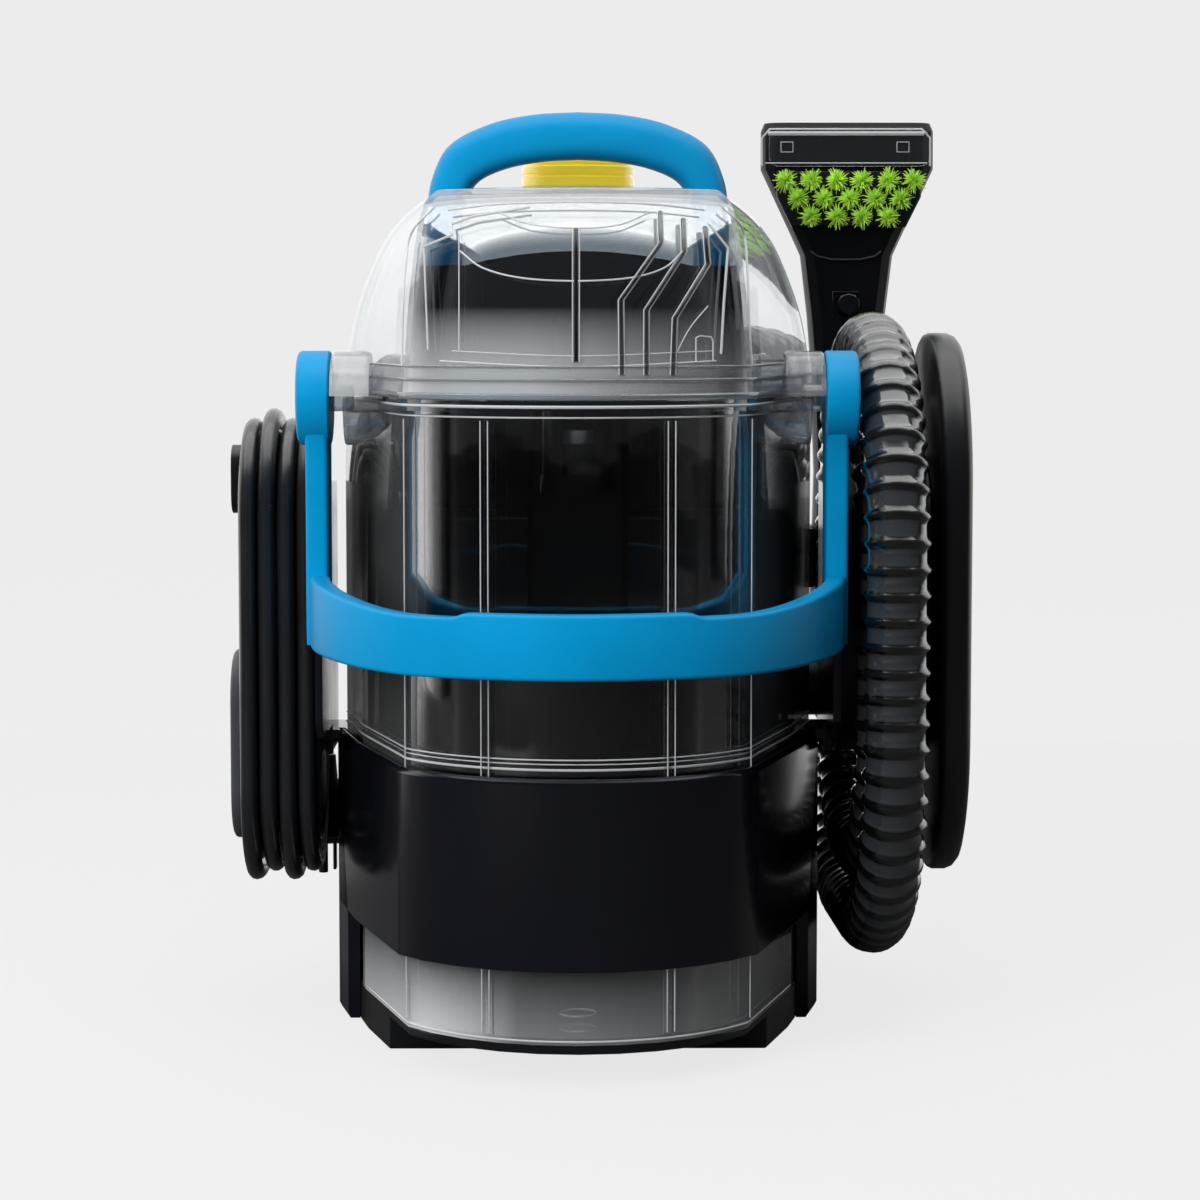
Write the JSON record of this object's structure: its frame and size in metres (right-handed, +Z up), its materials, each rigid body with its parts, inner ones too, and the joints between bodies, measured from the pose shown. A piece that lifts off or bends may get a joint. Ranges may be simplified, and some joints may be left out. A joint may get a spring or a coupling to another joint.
{
  "type": "spot extractor",
  "caption": "upright carpet and upholstery spot extractor with clear dirty tank under a hoop band, domed lid with bail, rear clean tank, hose rack, brush tool and wrapped mains cord",
  "frame": {"origin": "on the floor under the chassis, on the mid-plane of the dirty tank, level with the middle of the hose rack", "axes": "+Z up, -Y the front with the dirty tank, +X the side with the hose rack"},
  "size_m": [0.3398, 0.3406, 0.4266],
  "materials": {
    "black_plastic": "moulded ABS, satin",
    "band_gloss": "polished",
    "blue_plastic": "moulded, satin",
    "yellow_plastic": "moulded",
    "lime_bristle": "nylon",
    "clear_plastic": "clear polycarbonate, faintly smoked",
    "rubber": "soft",
    "cord_rubber": "cord jacket",
    "hose_plastic": "ribbed vinyl",
    "grey_plastic": "moulded",
    "white_plastic": "moulded",
    "steel": "brushed",
    "alloy": "stamped",
    "board": "circuit board"
  },
  "bodies": {
    "chassis": {"base_pan": "black_plastic", "side_frame_right": "black_plastic", "side_frame_left": "black_plastic", "rear_housing": "black_plastic", "tower_shell": "black_plastic", "tower_back": "black_plastic", "suction_duct": "black_plastic", "rack_hub": "black_plastic", "port_elbow": "black_plastic", "wand_cuff": "black_plastic", "wand_grip": "black_plastic", "tool_cradle": "black_plastic", "valve_receiver": "black_plastic", "fan_scroll": "black_plastic", "exhaust_grille": "black_plastic", "switch_bezel": "black_plastic", "foot_pad_front_left": "rubber", "foot_pad_front_right": "rubber", "foot_pad_rear_left": "rubber", "foot_pad_rear_right": "rubber", "motor_mount": "rubber", "front_band": "band_gloss", "rack_flange": "band_gloss", "carry_handle": "blue_plastic", "stretch_hose": "hose_plastic", "water_tube": "white_plastic", "motor_can": "steel", "pump_body": "grey_plastic", "lower_hook": "grey_plastic", "control_board": "board", "cord_gland": "cord_rubber", "cord_lead": "cord_rubber", "cord_hank": "cord_rubber", "cord_tail": "cord_rubber", "plug": "cord_rubber"},
    "dirty_tank_body": {"dirty_tank": "clear_plastic", "separator_stack": "clear_plastic"},
    "lid": {"lid_dome": "clear_plastic", "tank_seal": "rubber", "lid_deck": "clear_plastic", "float_cage": "black_plastic"},
    "bail": {"bail_handle": "blue_plastic"},
    "float_body": {"float": "white_plastic"},
    "clean_tank_body": {"clean_tank": "clear_plastic"},
    "cap": {"clean_cap": "yellow_plastic"},
    "poppet": {"valve_poppet": "white_plastic"},
    "rotor": {"fan_impeller": "alloy", "motor_shaft": "steel"},
    "rocker": {"power_switch": "black_plastic"},
    "trigger": {"spray_trigger": "blue_plastic"},
    "tool": {"tool_body": "black_plastic", "tool_window": "clear_plastic", "brush_plate": "lime_bristle"},
    "button": {"release_button": "black_plastic"},
    "hook": {"upper_hook": "black_plastic"}
  },
  "joints": [
    {"name": "tank_lift", "type": "slide", "parent": "chassis", "child": "dirty_tank_body", "axis": [0, 0, 1], "range_m": [0, 0.15]},
    {"name": "lid_lift", "type": "slide", "parent": "dirty_tank_body", "child": "lid", "axis": [0, 0, 1], "range_m": [0, 0.12]},
    {"name": "bail_swing", "type": "hinge", "parent": "lid", "child": "bail", "pos_m": [0, -0.072, 0.2927], "axis": [1, 0, 0], "range_deg": [-160, 0]},
    {"name": "float_rise", "type": "slide", "parent": "lid", "child": "float_body", "axis": [0, 0, 1], "range_m": [0, 0.018]},
    {"name": "clean_tank_lift", "type": "slide", "parent": "chassis", "child": "clean_tank_body", "axis": [0, 0, 1], "range_m": [0, 0.12]},
    {"name": "cap_turn", "type": "hinge", "parent": "clean_tank_body", "child": "cap", "pos_m": [0, 0.11825, 0.4], "axis": [0, 0, 1], "range_deg": [0, 270]},
    {"name": "valve_press", "type": "slide", "parent": "clean_tank_body", "child": "poppet", "axis": [0, 0, 1], "range_m": [0, 0.004], "stiffness_N_per_m": 200, "springref_m": -0.002},
    {"name": "fan_spin", "type": "hinge", "parent": "chassis", "child": "rotor", "pos_m": [-0.03, 0.1, 0.165], "axis": [0, 0, 1], "continuous": true},
    {"name": "power_rock", "type": "hinge", "parent": "chassis", "child": "rocker", "pos_m": [0.063, 0.1535, 0.197], "axis": [0, 0, 1], "range_deg": [-12, 0]},
    {"name": "trigger_squeeze", "type": "hinge", "parent": "chassis", "child": "trigger", "pos_m": [0.13527, 0.1536, 0.283], "axis": [1, 0, 0], "range_deg": [-7, 0], "stiffness_Nm_per_rad": 0.6, "springref_deg": 2.86},
    {"name": "tool_pull", "type": "slide", "parent": "chassis", "child": "tool", "axis": [0, 0, 1], "range_m": [0, 0.06]},
    {"name": "release_press", "type": "slide", "parent": "tool", "child": "button", "axis": [0, 1, 0], "range_m": [0, 0.003], "stiffness_N_per_m": 300, "springref_m": -0.001},
    {"name": "hook_turn", "type": "hinge", "parent": "chassis", "child": "hook", "pos_m": [-0.14, 0, 0.247], "axis": [-1, 0, 0], "range_deg": [0, 180]}
  ]
}
